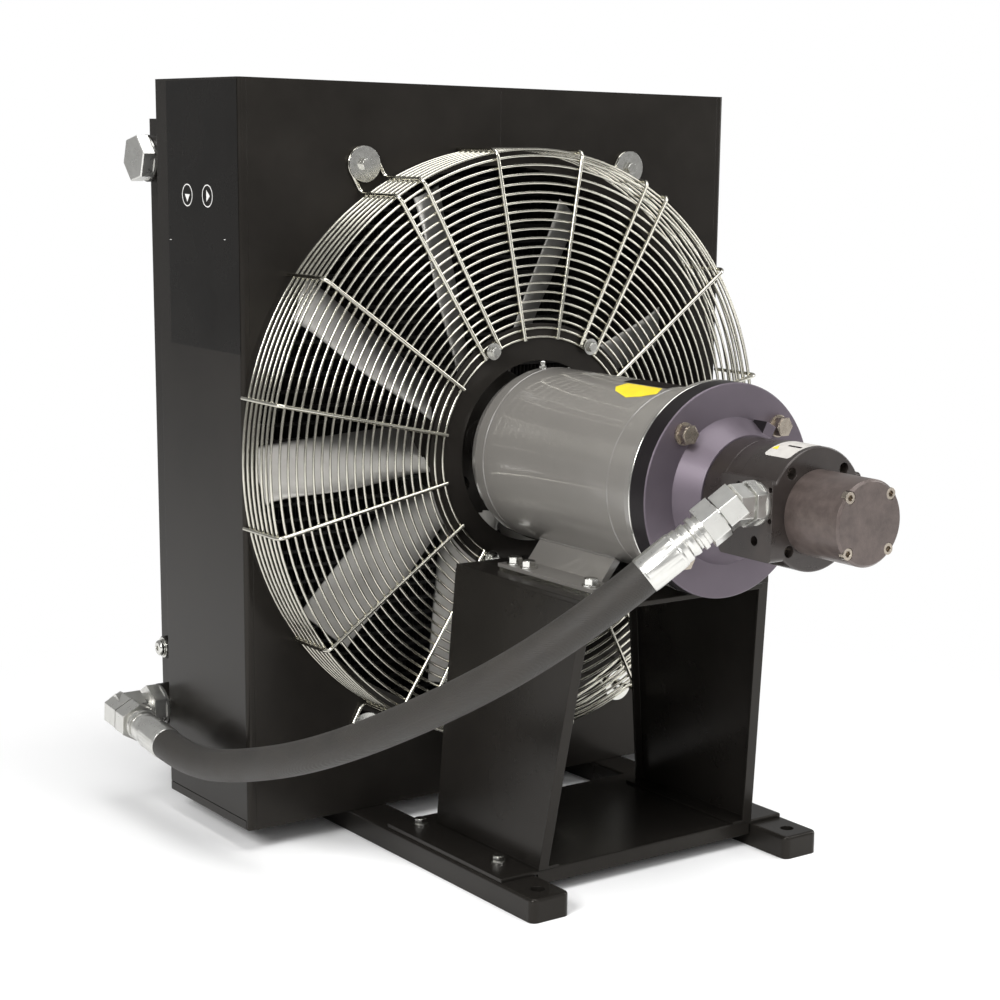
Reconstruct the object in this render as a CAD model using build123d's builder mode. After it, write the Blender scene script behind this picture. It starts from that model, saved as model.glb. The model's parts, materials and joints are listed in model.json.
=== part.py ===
from build123d import *
from math import cos, hypot, pi, radians, sin, tan
import os

os.makedirs("parts", exist_ok=True)

# Air-blast hydraulic oil cooler, pump and fan on one motor. Millimetres, +Z up.
# The origin is on the floor at the centre of the four floor holes; the motor
# axis runs along Y, with the pump end towards -Y and the core towards +Y.

# ---- Driving dimensions ----
AXIS_Z = 454.0          # fan, motor and pump axis above the floor
FACE_Y = 37.5           # front face of the shroud
SHROUD_W = 686.0
SHROUD_D = 198.0
SHROUD_TOP = 871.0
SHEET = 2.5             # shroud sheet
RAIL_W = 50.0
RAIL_L = 659.0
RAIL_H = 27.0
RAIL_X = 181.0          # rail centre from the middle plane
FLOOR_HOLE_Y = 303.5
FLOOR_HOLE_R = 8.0
TRAY_T = 4.5
MOTOR_R = 101.5
C_FACE_Y = -361.0       # motor face that carries the adapter
C_FACE_R = 114.3
C_BOLT_R = 92.07        # 184.15 mm bolt circle
SHAFT_HEIGHT = 114.3    # motor axis above its feet
FOOT_HALF = 95.25
FOOT_HOLES_Y = (-135.8, -161.2, -275.5)
SHAFT_R = 14.2875
ORIFICE_R = 328.0
FAN_TIP_R = 309.0
FAN_Y = 80.0
BLADES = 9
GUARD_R = 351.0
GUARD_IN_R = 134.5
RING_WIRE_R = 1.5
SPOKE_WIRE_R = 2.25
RING_PITCH = 10.3
CORE_D = 94.0
CORE_H = 748.0
PORT_Z_UP = 782.0
PORT_Z_LOW = 120.4
PORT_BORE_R = 19.6      # 1 5/8-12 straight thread, crest of the female thread
PUMP_PORT_R = 15.4      # 1 5/16-12 straight thread
HOSE_D = 37.5
ECCENTRIC = 2.7         # gerotor centre distance
INNER_LOBES = 6

# ---- Planes worked out from them ----
HALF_W = SHROUD_W / 2
BACK_Y = FACE_Y + SHROUD_D
CORE_Y = BACK_Y + CORE_D
CORE_MID_Y = BACK_Y + CORE_D / 2
CORE_BOTTOM = AXIS_Z - CORE_H / 2
FOOT_Z = AXIS_Z - SHAFT_HEIGHT
TRAY_TOP = RAIL_H + TRAY_T
AXIS = Axis((0, 0, AXIS_Z), (0, 1, 0))
HALF_PLANE = Plane(origin=(0, 0, AXIS_Z), x_dir=(0, 1, 0), z_dir=(1, 0, 0))


def front(y, z=AXIS_Z, x=0):
    """Plane facing the pump end, with its centre on the axis unless z says."""
    return Plane(origin=(x, y, z), x_dir=(1, 0, 0), z_dir=(0, -1, 0))


def left(x, y, z):
    """Plane facing -X; its local x runs towards the pump end."""
    return Plane(origin=(x, y, z), x_dir=(0, -1, 0), z_dir=(-1, 0, 0))


def right(x, y, z):
    """Plane facing +X; its local x runs towards the core."""
    return Plane(origin=(x, y, z), x_dir=(0, 1, 0), z_dir=(1, 0, 0))


def save(part, name):
    part.label = name
    export_step(part, f"parts/{name}.step")


def turned(profile):
    """Solid of revolution about the motor axis from (y, radius) points."""
    with BuildPart() as solid:
        with BuildSketch(HALF_PLANE):
            with BuildLine():
                Polyline(*profile, close=True)
            make_face()
        revolve(axis=AXIS)
    return solid.part


def ring(y, length, outer, inner):
    """Plain ring on the motor axis, from y towards the pump end."""
    with BuildPart() as solid:
        with BuildSketch(front(y)):
            Circle(outer)
            Circle(inner, mode=Mode.SUBTRACT)
        extrude(amount=length)
    return solid.part


def box(low, high):
    """Box between two corners."""
    size = [b - a for a, b in zip(low, high)]
    with BuildPart(Plane(origin=low)) as solid:
        Box(*size, align=(Align.MIN, Align.MIN, Align.MIN))
    return solid.part


def hex_bolts(plane, spots, flats, head, washer_r, shank_r, reach, washer=2.0):
    """Hex bolts on washers; the heads stand along the plane's normal."""
    with BuildPart() as kit:
        with BuildSketch(plane):
            with Locations(*spots):
                Circle(washer_r)
        extrude(amount=washer)
        with BuildSketch(plane.offset(washer)):
            with Locations(*spots):
                RegularPolygon(flats / 2, 6, major_radius=False)
        extrude(amount=head)
        with BuildSketch(plane.offset(washer + head)):
            with Locations(*spots):
                Circle(flats * 0.46)
        extrude(amount=0.6)
        with BuildSketch(plane):
            with Locations(*spots):
                Circle(shank_r)
        extrude(amount=-reach)
    return kit.part


def socket_screws(plane, spots, head_r, head, shank_r, reach):
    """Socket head screws; the heads stand along the plane's normal."""
    with BuildPart() as kit:
        with BuildSketch(plane):
            with Locations(*spots):
                Circle(head_r)
        extrude(amount=head)
        with BuildSketch(plane):
            with Locations(*spots):
                Circle(shank_r)
        extrude(amount=-reach)
        with BuildSketch(plane.offset(head)):
            with Locations(*spots):
                RegularPolygon(head_r * 0.5, 6, major_radius=False)
        extrude(amount=-head * 0.6, mode=Mode.SUBTRACT)
    return kit.part


def mirrored(part):
    """The same piece on the other side of the middle plane."""
    return part.mirror(Plane.YZ)


def joined(*parts):
    """One piece, or a group of separate solids, from several."""
    with BuildPart() as group:
        for part in parts:
            add(part)
    return group.part


# ---- Base: two rails with closed ends, and the tray across them ----
def rail(x):
    """Channel rail, open below, with a sleeve around each floor hole."""
    bolt_x = BOLT_X - RAIL_X if x > 0 else RAIL_X - BOLT_X
    spots = [(0, FLOOR_HOLE_Y), (0, -FLOOR_HOLE_Y)]
    with BuildPart() as bar:
        with BuildSketch(Plane((x, 0, 0))):
            RectangleRounded(RAIL_W, RAIL_L, 8)
        extrude(amount=RAIL_H)
        fillet(bar.faces().sort_by(Axis.Z)[-1].edges(), 4)
        with BuildSketch(Plane((x, 0, 0))):
            RectangleRounded(RAIL_W - 6, RAIL_L - 6, 5)
        extrude(amount=RAIL_H - 3, mode=Mode.SUBTRACT)
        with BuildSketch(Plane((x, 0, 0))):
            with Locations(*spots):
                Circle(FLOOR_HOLE_R + 4)
        extrude(amount=RAIL_H - 2)
        with BuildSketch(Plane((x, 0, 0))):
            with Locations(*spots):
                Circle(FLOOR_HOLE_R)
            with Locations(*[(bolt_x, y) for y in TRAY_BOLTS_Y]):
                Circle(4.3)
        extrude(amount=RAIL_H, mode=Mode.SUBTRACT)
    return bar.part


TRAY_BOLTS_Y = (-62.5, -220.0)
TRAY_X = 203.0
TRAY_BACK = -37.5
TRAY_FRONT = -267.5
BOLT_X = 173.5

save(joined(rail(-RAIL_X), rail(RAIL_X)), "rails")

tray_spots = [(s * BOLT_X, y) for s in (-1, 1) for y in TRAY_BOLTS_Y]
lip_x = RAIL_X - RAIL_W / 2 - 2
with BuildPart() as base_tray:
    with BuildSketch(Plane.XY.offset(RAIL_H)):
        with Locations((0, (TRAY_BACK + TRAY_FRONT) / 2)):
            Rectangle(2 * TRAY_X, TRAY_BACK - TRAY_FRONT)
        with Locations(*tray_spots):
            Circle(4.3, mode=Mode.SUBTRACT)
    extrude(amount=TRAY_T)
    for edge_y in (TRAY_FRONT + 1.5, TRAY_BACK - 1.5):
        with BuildSketch(Plane((0, edge_y, RAIL_H - 12))):
            Rectangle(2 * lip_x, 3)
        extrude(amount=12)
    lip_edge = base_tray.edges().filter_by(Axis.X).group_by(Axis.Z)[-1]
    fillet(lip_edge.sort_by(Axis.Y)[0], 2)
save(base_tray.part, "base_tray")

tray_bolts = hex_bolts(
    Plane.XY.offset(TRAY_TOP), tray_spots, 13, 5.5, 9.0, 4.0, 9.5
)
save(tray_bolts, "tray_bolts")

# ---- Motor stand: two leaning side sheets under a flat plate ----
SHIM_T = 2.8
PLATE_T = 5.0
PLATE_X = 131.0
PLATE_BACK = -70.0
PLATE_FRONT = -309.5
TONGUE_X = 93.0         # narrower part of the plate under the motor's face
TONGUE_FRONT = -343.0
STAND_FOOT_X = 155.0
STAND_LIP = 13.0
stand_top = FOOT_Z - SHIM_T - PLATE_T
side_outline = [
    (-68.5, stand_top),
    (-309.5, stand_top),
    (-269.4, TRAY_TOP),
    (-67.5, TRAY_TOP),
]


def leaning(wide):
    """Band of the -X side, `wide` deep from its leaning outer face."""
    with BuildPart() as band:
        with BuildSketch(front(0, 0)):
            with BuildLine():
                Polyline(
                    (-PLATE_X, stand_top),
                    (-PLATE_X + wide, stand_top),
                    (-STAND_FOOT_X + wide, TRAY_TOP),
                    (-STAND_FOOT_X, TRAY_TOP),
                    close=True,
                )
            make_face()
        extrude(amount=400)
    return band.part


def outline(points):
    """Side view of the stand, pushed through from -X to the middle."""
    with BuildPart() as block:
        with BuildSketch(Plane.YZ.offset(-200)):
            with BuildLine():
                Polyline(*points, close=True)
            make_face()
        extrude(amount=200)
    return block.part


front_lip = [
    side_outline[1],
    (side_outline[1][0] + 3, stand_top),
    (side_outline[2][0] + 3, TRAY_TOP),
    side_outline[2],
]
back_lip = [
    (side_outline[0][0] - 3, stand_top),
    side_outline[0],
    side_outline[3],
    (side_outline[3][0] - 3, TRAY_TOP),
]
stand_web = leaning(3.0) & outline(side_outline)
stand_front = leaning(STAND_LIP) & outline(front_lip)
stand_back = leaning(STAND_LIP) & outline(back_lip)
foot_flange = box(
    (-STAND_FOOT_X, side_outline[2][0], TRAY_TOP),
    (-STAND_FOOT_X + 28, side_outline[3][0], TRAY_TOP + 3),
)
top_flange = box(
    (-PLATE_X, side_outline[1][0], stand_top - 3),
    (-PLATE_X + 28, side_outline[0][0], stand_top),
)
stand_left = joined(stand_web, stand_front, stand_back, foot_flange, top_flange)
save(stand_left, "stand_side_left")
save(mirrored(stand_left), "stand_side_right")

foot_spots = [(s * FOOT_HALF, y) for s in (-1, 1) for y in FOOT_HOLES_Y]
with BuildPart() as motor_plate:
    with BuildSketch(Plane.XY.offset(stand_top)):
        with Locations((0, (PLATE_BACK + PLATE_FRONT) / 2)):
            Rectangle(2 * PLATE_X, PLATE_BACK - PLATE_FRONT)
        with Locations((0, (PLATE_BACK + TONGUE_FRONT) / 2)):
            Rectangle(2 * TONGUE_X, PLATE_BACK - TONGUE_FRONT)
        with Locations(*foot_spots):
            Circle(5.2, mode=Mode.SUBTRACT)
    extrude(amount=PLATE_T)
save(motor_plate.part, "motor_plate")

with BuildPart() as foot_shims:
    with BuildSketch(Plane.XY.offset(stand_top + PLATE_T)):
        with Locations((-88, -206), (88, -206)):
            Rectangle(38, 170)
        with Locations(*foot_spots):
            Circle(5.2, mode=Mode.SUBTRACT)
    extrude(amount=SHIM_T)
save(foot_shims.part, "foot_shims")

# ---- Shroud: face with its round opening, side, top and bottom sheets ----
RETURN = 10.0           # how far each side sheet turns in across the front
PAN_LIP = 10.0          # how far the bottom sheet turns up at the sides
FACE_JOINT = 0.1        # hairline between the face's four corner sheets
LOOP_R = 378.0
LOOP_ANGLES = (60, 120, 240, 300)


def polar(radius, angle):
    return (radius * cos(radians(angle)), radius * sin(radians(angle)))


with BuildPart() as shroud_face:
    with BuildSketch(front(FACE_Y + SHEET, (RAIL_H + SHROUD_TOP) / 2)):
        Rectangle(SHROUD_W - 2 * RETURN, SHROUD_TOP - RAIL_H)
    extrude(amount=SHEET)
    with BuildSketch(front(FACE_Y + SHEET)):
        Circle(ORIFICE_R)
        with Locations(*[polar(LOOP_R, a) for a in LOOP_ANGLES]):
            Circle(4.3)
        Rectangle(FACE_JOINT, 1000)
        Rectangle(1000, FACE_JOINT)
    extrude(amount=SHEET, mode=Mode.SUBTRACT)
save(shroud_face.part, "shroud_face")

with BuildPart() as shroud_left:
    with BuildSketch(Plane.XY.offset(RAIL_H)):
        with Locations((-HALF_W, FACE_Y)):
            Rectangle(SHEET, SHROUD_D, align=(Align.MIN, Align.MIN))
            Rectangle(RETURN, SHEET, align=(Align.MIN, Align.MIN))
    extrude(amount=SHROUD_TOP - RAIL_H)
    upright = shroud_left.edges().filter_by(Axis.Z)
    corner = upright.sort_by_distance((-HALF_W, FACE_Y, 450))[0]
    fillet(corner, 5)
    upright = shroud_left.edges().filter_by(Axis.Z)
    inner = upright.sort_by_distance(
        (-HALF_W + SHEET, FACE_Y + SHEET, 450)
    )[0]
    fillet(inner, 2)
    with BuildSketch(Plane.XY.offset(RAIL_H)):
        with Locations((-HALF_W, FACE_Y + 6)):
            Rectangle(SHEET, SHROUD_D, align=(Align.MIN, Align.MIN))
    extrude(amount=PAN_LIP + 1, mode=Mode.SUBTRACT)
save(shroud_left.part, "shroud_left")
save(mirrored(shroud_left.part), "shroud_right")

inside_x = HALF_W - SHEET
pan_front = FACE_Y + 7
shroud_bottom = joined(
    box((-inside_x, FACE_Y + SHEET, RAIL_H), (inside_x, BACK_Y, RAIL_H + SHEET)),
    box((-HALF_W, pan_front, RAIL_H), (-inside_x, BACK_Y, RAIL_H + PAN_LIP)),
    box((inside_x, pan_front, RAIL_H), (HALF_W, BACK_Y, RAIL_H + PAN_LIP)),
)
save(shroud_bottom, "shroud_bottom")
shroud_top = box(
    (-inside_x, FACE_Y + SHEET, SHROUD_TOP - SHEET),
    (inside_x, BACK_Y, SHROUD_TOP),
)
save(shroud_top, "shroud_top")

with BuildPart() as core_frame:
    with BuildSketch(front(BACK_Y, (RAIL_H + SHROUD_TOP) / 2)):
        Rectangle(2 * inside_x, SHROUD_TOP - RAIL_H - 2 * SHEET)
    extrude(amount=SHEET)
    with BuildSketch(front(BACK_Y)):
        Rectangle(600, CORE_H - 12)
    extrude(amount=SHEET, mode=Mode.SUBTRACT)
save(core_frame.part, "core_frame")
save(ring(FACE_Y + 45, 42.5, ORIFICE_R + 2, ORIFICE_R), "orifice_ring")

# ---- Core: tanks with port bosses, flat tubes and fin plates ----
CORE_HALF = 308.0
TANK_W = 50.0
BOSS_X = 333.0
SCREW_Z = 193.0
tank_in = CORE_HALF - TANK_W


def tank(side, ports):
    """Side tank, open towards the core, with bosses on its outer face."""
    x = side * (CORE_HALF - TANK_W / 2)
    face = (left if side < 0 else right)(side * CORE_HALF, CORE_MID_Y, 0)
    with BuildPart() as shell:
        with BuildSketch(Plane((x, CORE_MID_Y, CORE_BOTTOM))):
            Rectangle(TANK_W, CORE_D)
        extrude(amount=CORE_H)
        outer = shell.faces().sort_by(Axis.X)[0 if side < 0 else -1]
        fillet(outer.edges().filter_by(Axis.Z), 5)
        with BuildSketch(Plane((x - side * 5, CORE_MID_Y, CORE_BOTTOM + 6))):
            Rectangle(TANK_W, CORE_D - 12)
        extrude(amount=CORE_H - 12, mode=Mode.SUBTRACT)
        with BuildSketch(Plane((side * (tank_in + 2), CORE_MID_Y, CORE_BOTTOM + 6))):
            Rectangle(4, CORE_D - 12)
        extrude(amount=CORE_H - 12)
        with BuildSketch(face):
            with Locations(*[(0, z) for z in ports]):
                Circle(27)
            if side < 0:
                with Locations((0, SCREW_Z)):
                    Circle(14)
        extrude(amount=BOSS_X - CORE_HALF)
        with BuildSketch(face.offset(BOSS_X - CORE_HALF)):
            with Locations(*[(0, z) for z in ports]):
                Circle(PORT_BORE_R)
        extrude(amount=-30, mode=Mode.SUBTRACT)
        if side < 0:
            with BuildSketch(face.offset(BOSS_X - CORE_HALF)):
                with Locations((0, SCREW_Z)):
                    Circle(4.1)
            extrude(amount=-22, mode=Mode.SUBTRACT)
            with BuildSketch(face.offset(BOSS_X - CORE_HALF)):
                with Locations((0, SCREW_Z)):
                    Circle(16)
            extrude(amount=-7, mode=Mode.SUBTRACT)
    return shell.part


save(tank(-1, (PORT_Z_UP, PORT_Z_LOW)), "tank_left")
save(tank(1, (PORT_Z_UP,)), "tank_right")

TUBE_PITCH = 20.0
TUBES = 36
with BuildPart() as core_tubes:
    with Locations(*[
        (0, CORE_MID_Y, AXIS_Z + TUBE_PITCH * (i - (TUBES - 1) / 2))
        for i in range(TUBES)
    ]):
        Box(2 * tank_in, CORE_D - 4, 4)
    with Locations(
        (0, CORE_MID_Y, CORE_BOTTOM + 3),
        (0, CORE_MID_Y, CORE_BOTTOM + CORE_H - 3),
    ):
        Box(2 * tank_in, CORE_D, 6)
save(core_tubes.part, "core_tubes")

FIN_PITCH = 6.0
FINS = 84
with BuildPart() as core_fins:
    with Locations(*[
        (FIN_PITCH * (i - (FINS - 1) / 2), CORE_MID_Y, AXIS_Z)
        for i in range(FINS)
    ]):
        Box(0.6, CORE_D - 6, CORE_H - 12)
save(core_fins.part, "core_fins")

# ---- Fittings on the core's left tank ----
with BuildPart() as port_plug:
    with BuildSketch(left(-BOSS_X, CORE_MID_Y, PORT_Z_UP)):
        Circle(25.5)
    extrude(amount=2.5)
    with BuildSketch(left(-BOSS_X - 2.5, CORE_MID_Y, PORT_Z_UP)):
        RegularPolygon(24, 6, major_radius=False, rotation=12)
    extrude(amount=15)
    chamfer(port_plug.faces().sort_by(Axis.X)[0].edges(), 1.2)
    with BuildSketch(left(-BOSS_X, CORE_MID_Y, PORT_Z_UP)):
        Circle(PORT_BORE_R - 0.1)
    extrude(amount=-14)
save(port_plug.part, "port_plug")

screw_face = left(-BOSS_X + 7, CORE_MID_Y, SCREW_Z)
with BuildPart() as tank_screw:
    with BuildSketch(screw_face):
        Circle(12.5)
    extrude(amount=2)
    with BuildSketch(screw_face.offset(2)):
        Circle(10.5)
    extrude(amount=2)
    with BuildSketch(screw_face.offset(4)):
        Circle(9.5)
    extrude(amount=5)
    fillet(tank_screw.edges().group_by(Axis.X)[0], 3.5)
    with BuildSketch(screw_face.offset(9)):
        RegularPolygon(3, 6, major_radius=False)
    extrude(amount=-3, mode=Mode.SUBTRACT)
    with BuildSketch(screw_face):
        Circle(4.0)
    extrude(amount=-14)
save(tank_screw.part, "tank_screw")

# ---- Guard: wire rings welded behind bent spokes ----
GUARD_Y = FACE_Y - 79.5         # spoke centre line at the outer bend
GUARD_IN_Y = FACE_Y - 86.4      # and at the hub end
WELD_GAP = RING_WIRE_R + SPOKE_WIRE_R - 0.3
LOOP_Y = FACE_Y - SPOKE_WIRE_R
LOOP_HALF = 18.0
HUB_HALF = 11.5
HUB_BOLT_R = 139.0
SINGLE_ANGLES = (12, 36, 80)
FRONT_RINGS = 21
SIDE_RINGS = 7


def at(radius, side, y, angle):
    """Point at a radius, `side` off the spoke's own radial line."""
    a = radians(angle)
    return (
        radius * cos(a) - side * sin(a),
        y,
        AXIS_Z + radius * sin(a) + side * cos(a),
    )


def wire(points, radii, thick):
    """Round wire along straight runs joined by tangent arcs."""
    with BuildPart() as rod:
        with BuildLine() as path:
            FilletPolyline(*points, radius=radii)
        with BuildSketch(Plane(origin=path.line @ 0, z_dir=path.line % 0)):
            Circle(thick)
        sweep(path=path.line)
    return rod.part


def spoke(angle):
    points = [
        at(GUARD_IN_R - 2, 0, GUARD_IN_Y, angle),
        at(GUARD_R, 0, GUARD_Y, angle),
        at(GUARD_R, 0, FACE_Y, angle),
    ]
    return wire(points, 8, SPOKE_WIRE_R)


def spoke_pair(angle):
    """One wire: in to the hub on both sides of a mounting loop."""
    bend = (GUARD_R**2 - LOOP_HALF**2) ** 0.5
    half = [
        (HUB_BOLT_R - 4, HUB_HALF, GUARD_IN_Y),
        (bend, LOOP_HALF, GUARD_Y),
        (bend, LOOP_HALF, LOOP_Y),
        (LOOP_R + LOOP_HALF, LOOP_HALF, LOOP_Y),
    ]
    back = [(r, -s, y) for r, s, y in reversed(half)]
    points = [at(r, s, y, angle) for r, s, y in half + back]
    return wire(points, [8, 8, 17.9, 17.9, 8, 8], SPOKE_WIRE_R)


def quadrants(angle):
    return (angle, 180 - angle, 180 + angle, 360 - angle)


singles = [spoke(a) for base in SINGLE_ANGLES for a in quadrants(base)]
pairs = [spoke_pair(a) for a in LOOP_ANGLES]
save(joined(*singles, *pairs), "guard_spokes")

slope = (GUARD_Y - GUARD_IN_Y) / (GUARD_R - GUARD_IN_R)
with BuildPart() as guard_front_rings:
    for i in range(FRONT_RINGS):
        radius = GUARD_IN_R + RING_PITCH * i
        y = GUARD_IN_Y + slope * RING_PITCH * i + WELD_GAP
        with Locations(Location((0, y, AXIS_Z), (90, 0, 0))):
            Torus(radius, RING_WIRE_R)
save(guard_front_rings.part, "guard_front_rings")

with BuildPart() as guard_side_rings:
    for i in range(SIDE_RINGS):
        y = GUARD_Y + 10 + RING_PITCH * i
        with Locations(Location((0, y, AXIS_Z), (90, 0, 0))):
            Torus(GUARD_R - WELD_GAP, RING_WIRE_R)
save(guard_side_rings.part, "guard_side_rings")

hub_plate_y = GUARD_IN_Y + WELD_GAP + RING_WIRE_R
hub_spots = [polar(HUB_BOLT_R, a) for a in LOOP_ANGLES]
with BuildPart() as guard_hub_plate:
    with BuildSketch(front(hub_plate_y + 2)):
        Circle(150)
        Circle(MOTOR_R + 5, mode=Mode.SUBTRACT)
        with Locations(*hub_spots):
            Circle(3.2, mode=Mode.SUBTRACT)
    extrude(amount=2)
save(guard_hub_plate.part, "guard_hub_plate")

hub_washer_y = GUARD_IN_Y - SPOKE_WIRE_R
hub_bolts = hex_bolts(
    front(hub_washer_y), hub_spots, 11, 5.0, 9.5, 3.0, 12.0
)
save(hub_bolts, "guard_hub_bolts")
loop_spots = [polar(LOOP_R, a) for a in LOOP_ANGLES]
loop_bolts = hex_bolts(
    front(FACE_Y - 2 * SPOKE_WIRE_R), loop_spots, 13, 5.5, 20.0, 4.0, 12.0
)
save(loop_bolts, "guard_loop_bolts")

# ---- Motor ----
SHELL_BACK = -79.0
SHELL_FRONT = -307.5
BELL_BACK = -30.0
REGISTER_R = 107.95
SEAM = 1.0              # bevel at the joints of the motor's outer pieces

motor_shell = turned([
    (SHELL_BACK, MOTOR_R - 4), (SHELL_BACK, MOTOR_R - SEAM),
    (SHELL_BACK - SEAM, MOTOR_R), (SHELL_FRONT + SEAM, MOTOR_R),
    (SHELL_FRONT, MOTOR_R - SEAM), (SHELL_FRONT, MOTOR_R - 4),
])
save(motor_shell, "motor_shell")
rear_bell = turned([
    (SHELL_BACK, MOTOR_R - SEAM), (SHELL_BACK + SEAM, MOTOR_R),
    (-60, 100), (-49, 96), (-40, 86), (-33, 70),
    (BELL_BACK, 50), (BELL_BACK, 17), (-36, 17), (-36, 31), (-54, 31),
    (-54, 37), (-37, 37), (-39, 66), (-46, 81), (-54, 90), (-62, 94),
    (SHELL_BACK, 95),
])
save(rear_bell, "motor_rear_bell")

c_spots = [polar(C_BOLT_R, 45 + 90 * i) for i in range(4)]
bell_profile = [
    (SHELL_FRONT, MOTOR_R - SEAM), (SHELL_FRONT - SEAM, MOTOR_R),
    (-343, MOTOR_R), (-349, C_FACE_R - 4), (-353, C_FACE_R),
    (C_FACE_Y + SEAM, C_FACE_R), (C_FACE_Y, C_FACE_R - SEAM),
    (C_FACE_Y, REGISTER_R),
    (C_FACE_Y - 3.2, REGISTER_R), (C_FACE_Y - 3.2, 17), (-352, 17),
    (-352, 36), (-332, 36), (-332, 42), (-349, 42), (-349, 80),
    (-341, 91), (-330, 95), (SHELL_FRONT, 95),
]
bell_blank = turned(bell_profile)
with BuildPart() as front_bell:
    add(bell_blank)
    with BuildSketch(front(C_FACE_Y + 14)):
        with Locations(*c_spots):
            Circle(5.4)
    extrude(amount=30, mode=Mode.SUBTRACT)
save(front_bell.part, "motor_front_bell")

bearings = joined(ring(-36, 18, 31, 14.33), ring(-334, 18, 36, 14.33))
save(bearings, "motor_bearings")
save(ring(-120, 170, MOTOR_R - 4, 60), "stator_core")


def winding(y, length):
    """Bound end turns of the coils: a ring with rounded corners."""
    with BuildPart() as coil:
        with BuildSketch(HALF_PLANE):
            with Locations((y - length / 2, 77)):
                RectangleRounded(length, 26, 6)
        revolve(axis=AXIS)
    return coil.part


save(joined(winding(-92, 28), winding(-290, 28)), "stator_windings")


def foot():
    """Bent steel foot on the -X side, welded along the shell."""
    with BuildPart() as base:
        with BuildSketch(front(-118, 0)):
            with BuildLine():
                Polyline(
                    (-107, FOOT_Z), (-72, FOOT_Z), (-72, FOOT_Z + 4),
                    (-107, FOOT_Z + 4), close=True,
                )
            make_face()
        extrude(amount=176.5)
        with BuildSketch(front(-126, 0)):
            with BuildLine():
                Polyline(
                    (-72, FOOT_Z), (-66, FOOT_Z), (-46.5, 363.4),
                    (-54, 367.6), (-72, FOOT_Z + 4), close=True,
                )
            make_face()
        extrude(amount=138)
        with BuildSketch(Plane.XY.offset(FOOT_Z)):
            with Locations(*[(-FOOT_HALF, y) for y in FOOT_HOLES_Y]):
                Circle(5.2)
        extrude(amount=4, mode=Mode.SUBTRACT)
    return base.part


save(joined(foot(), mirrored(foot())), "motor_feet")
foot_bolts = hex_bolts(
    Plane.XY.offset(FOOT_Z + 4), foot_spots, 14.3, 6.3, 10.0, 4.75, 20.0
)
save(foot_bolts, "foot_bolts")

with BuildPart() as grease_fitting:
    with BuildSketch(Plane((0, -52, AXIS_Z + 96.6))):
        RegularPolygon(4.5, 6)
    extrude(amount=4.5)
    with BuildSketch(Plane((0, -52, AXIS_Z + 101.1))):
        Circle(3)
    extrude(amount=6)
    fillet(grease_fitting.edges().group_by(Axis.Z)[-1], 1.5)
save(grease_fitting.part, "grease_fitting")

BOX_Y = (-130.0, -235.0)
with BuildPart() as conduit_box:
    with BuildSketch(right(85, sum(BOX_Y) / 2, AXIS_Z)):
        RectangleRounded(105, 96, 8)
    extrude(amount=73)
    with BuildSketch(front(0)):
        Circle(MOTOR_R)
    extrude(amount=400, mode=Mode.SUBTRACT)
    with BuildSketch(right(158, sum(BOX_Y) / 2, AXIS_Z)):
        RectangleRounded(99, 90, 5)
    extrude(amount=-48, mode=Mode.SUBTRACT)
save(conduit_box.part, "conduit_box")

lid_screws = [(s * 46, t * 41) for s in (-1, 1) for t in (-1, 1)]
with BuildPart() as conduit_cover:
    with BuildSketch(right(158, sum(BOX_Y) / 2, AXIS_Z)):
        RectangleRounded(105, 96, 8)
    extrude(amount=2.5)
    with BuildSketch(right(160.5, sum(BOX_Y) / 2, AXIS_Z)):
        with Locations(*lid_screws):
            Circle(4)
    extrude(amount=2.5)
    fillet(conduit_cover.edges().group_by(Axis.X)[-1], 1.2)
save(conduit_cover.part, "conduit_cover")

# ---- Rotor: shaft through the motor, fan at one end, pump at the other ----
HUB_R = 90.0
SHAFT_FRONT = -396.0
PUMP_SHAFT_R = 11.1

with BuildPart() as motor_shaft:
    with BuildSketch(front(FAN_Y + 26)):
        Circle(SHAFT_R)
    extrude(amount=FAN_Y + 26 - SHAFT_FRONT)
    chamfer(motor_shaft.edges().filter_by(GeomType.CIRCLE), 1)
    with BuildSketch(front(SHAFT_FRONT)):
        Circle(PUMP_SHAFT_R)
    extrude(amount=-56, mode=Mode.SUBTRACT)
save(motor_shaft.part, "motor_shaft")
save(ring(-118, 174, 59.5, SHAFT_R), "rotor_core")

with BuildPart() as fan_hub:
    with BuildSketch(front(FAN_Y + 12)):
        Circle(HUB_R)
        Circle(SHAFT_R, mode=Mode.SUBTRACT)
        with PolarLocations(62, 6):
            Circle(11, mode=Mode.SUBTRACT)
    extrude(amount=24)
    with BuildSketch(front(FAN_Y + 12)):
        Circle(HUB_R - 6)
        Circle(36, mode=Mode.SUBTRACT)
    extrude(amount=8, mode=Mode.SUBTRACT)
    with BuildSketch(front(FAN_Y + 24)):
        Circle(26)
        Circle(SHAFT_R, mode=Mode.SUBTRACT)
    extrude(amount=48)
save(fan_hub.part, "fan_hub")


def blade(angle):
    """Broad blade, twisted from its root in the hub out to its tip."""
    stations = ((HUB_R - 3, 72, 46), (200, 74, 38), (FAN_TIP_R - 3, 70, 31))
    with BuildPart() as vane:
        for radius, chord, pitch in stations:
            with BuildSketch(Plane((0, FAN_Y, AXIS_Z + radius))):
                Ellipse(chord / 2, 2.6, rotation=-pitch)
        loft()
    return mirrored(vane.part).rotate(AXIS, angle)


BLADE_START = 90 - 184.4
blades = [blade(BLADE_START + 360 / BLADES * i) for i in range(BLADES)]
save(joined(*blades), "fan_blades")

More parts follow.
